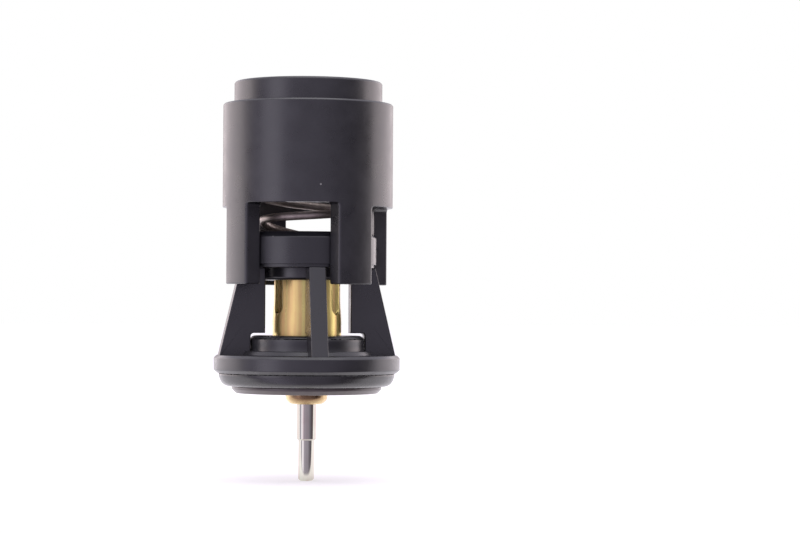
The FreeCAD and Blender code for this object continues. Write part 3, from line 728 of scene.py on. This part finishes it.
lit_floor = add(sheet, "AddShader", {0: paint.outputs[0], 1: glow.outputs[0]})
opened = add(sheet, "MixShader", {0: product(sheet, ray["Is Glossy Ray"], far_front), 1: lit_floor.outputs[0],
                                  2: add(sheet, "BsdfTransparent").outputs[0]})
add(sheet, "OutputMaterial", {"Surface": opened.outputs[0]})
floor_mesh.materials.append(floor_material)


# Room: white behind the part, with a bright strip at the front left, grey in front and dark at the
# right, as the bands on the pin and the neck show. A wall's level goes by its bearing from the
# camera's side, in degrees, and the camera sees all of it white.
wall_levels = (
    (-180, 1.0), (-104, 1.0), (-92, 0.82), (-80, 0.55), (-68, 0.65), (-56, 1.0), (-42, 1.0), (-28, 0.62),
    (0, 0.48), (22, 0.48), (40, 0.3), (60, 0.16), (88, 0.2), (99, 0.85), (107, 1.0), (180, 1.0))
cool, warm, warm_from = (0.98, 0.9, 1.14), (1.0, 0.88, 0.9), 80
ceiling_colour, ceiling_start, ceiling_end = (0.93, 0.9, 1.02), 0.12, 0.5
world = bpy.data.worlds.new("white_room")
bpy.context.scene.world = world
world.use_nodes = True
room = world.node_tree
room.nodes.clear()
way = add(room, "TexCoord").outputs["Generated"]
ahead = add(room, "VectorMath", {0: way, 1: front}, operation="DOT_PRODUCT")
aside = add(room, "VectorMath", {0: way, 1: right}, operation="DOT_PRODUCT")
bearing = add(room, "Math", {0: aside.outputs["Value"], 1: ahead.outputs["Value"]}, operation="ARCTAN2")
walls = add(room, "ValToRGB", {"Fac": ramp(room, bearing.outputs[0], -math.pi, math.pi)})
stops = walls.color_ramp.elements
while len(stops) < len(wall_levels):
    stops.new(0.5)
for stop, (angle, level) in zip(stops, wall_levels):
    stop.position = 0.5 + angle / 360
    stop.color = (*(level * tone for tone in (warm if abs(angle) > warm_from else cool)), 1)
upward = add(room, "SeparateXYZ", {"Vector": way}).outputs["Z"]
lit_room = mixed(room, ramp(room, upward, ceiling_start, ceiling_end), walls.outputs["Color"], ceiling_colour)
to_eye = add(room, "LightPath").outputs["Is Camera Ray"]
sky = add(room, "Background", {"Color": mixed(room, to_eye, lit_room, (1, 1, 1)), "Strength": 1.0})
add(room, "OutputWorld", {"Surface": sky.outputs[0]})


# Lamps: four soft ones, two of them large and behind the part, a smaller one at the front left and
# one above. None is much brighter than a white wall.
middle = Vector((0, 0, -0.05))


def soft_lamp(name, bearing, height, distance, wide, tall, level, colour=(1, 1, 1)):
    """A rectangular lamp that looks at the part's middle from a bearing round it, in degrees from the
    camera's side. Its level is the brightness of its face, against 1 for a white wall."""
    lamp = bpy.data.lights.new(name, "AREA")
    lamp.shape = "RECTANGLE"
    lamp.size, lamp.size_y, lamp.energy = wide, tall, level * math.pi * wide * tall
    lamp.color = colour
    made = bpy.data.objects.new(name, lamp)
    bpy.context.scene.collection.objects.link(made)
    turn = math.radians(camera_side - 90 + bearing)
    place = Vector((distance * math.cos(turn), distance * math.sin(turn), height))
    made.location = place
    made.rotation_euler = (middle - place).to_track_quat("-Z", "Y").to_euler()
    made.visible_camera = False


soft_lamp("back_left_lamp", -128, 0.0, 1.2, 1.5, 1.2, 1.25, (1, 0.9, 0.92))
soft_lamp("back_right_lamp", 128, 0.0, 1.2, 1.5, 1.2, 1.15, (1, 0.9, 0.92))
soft_lamp("front_left_lamp", -50, 0.1, 1.2, 0.6, 0.9, 0.45)
soft_lamp("top_lamp", 20, 1.0, 0.15, 0.9, 0.9, 1.0)


# Camera: level with the brass cup and to the left of the front leg. It looks up by about a degree
# and leans by a third of one.
camera_distance, camera_height = 0.71, -0.059
look_right, look_up, lean = 2.174, 0.97, 0.335
camera_data = bpy.data.cameras.new("camera")
camera_data.lens, camera_data.sensor_width = 109.8, 36.0
camera_data.clip_start, camera_data.clip_end = 0.01, 50
camera = bpy.data.objects.new("camera", camera_data)
bpy.context.scene.collection.objects.link(camera)
camera.location = (camera_distance * front[0], camera_distance * front[1], camera_height)
level_aim = Euler((math.radians(90 + look_up), 0, math.radians(camera_side - look_right)))
camera.rotation_mode = "QUATERNION"
camera.rotation_quaternion = level_aim.to_quaternion() @ Quaternion((0, 0, 1), math.radians(lean))
bpy.context.scene.camera = camera
bpy.context.scene.view_settings.view_transform = "Standard"
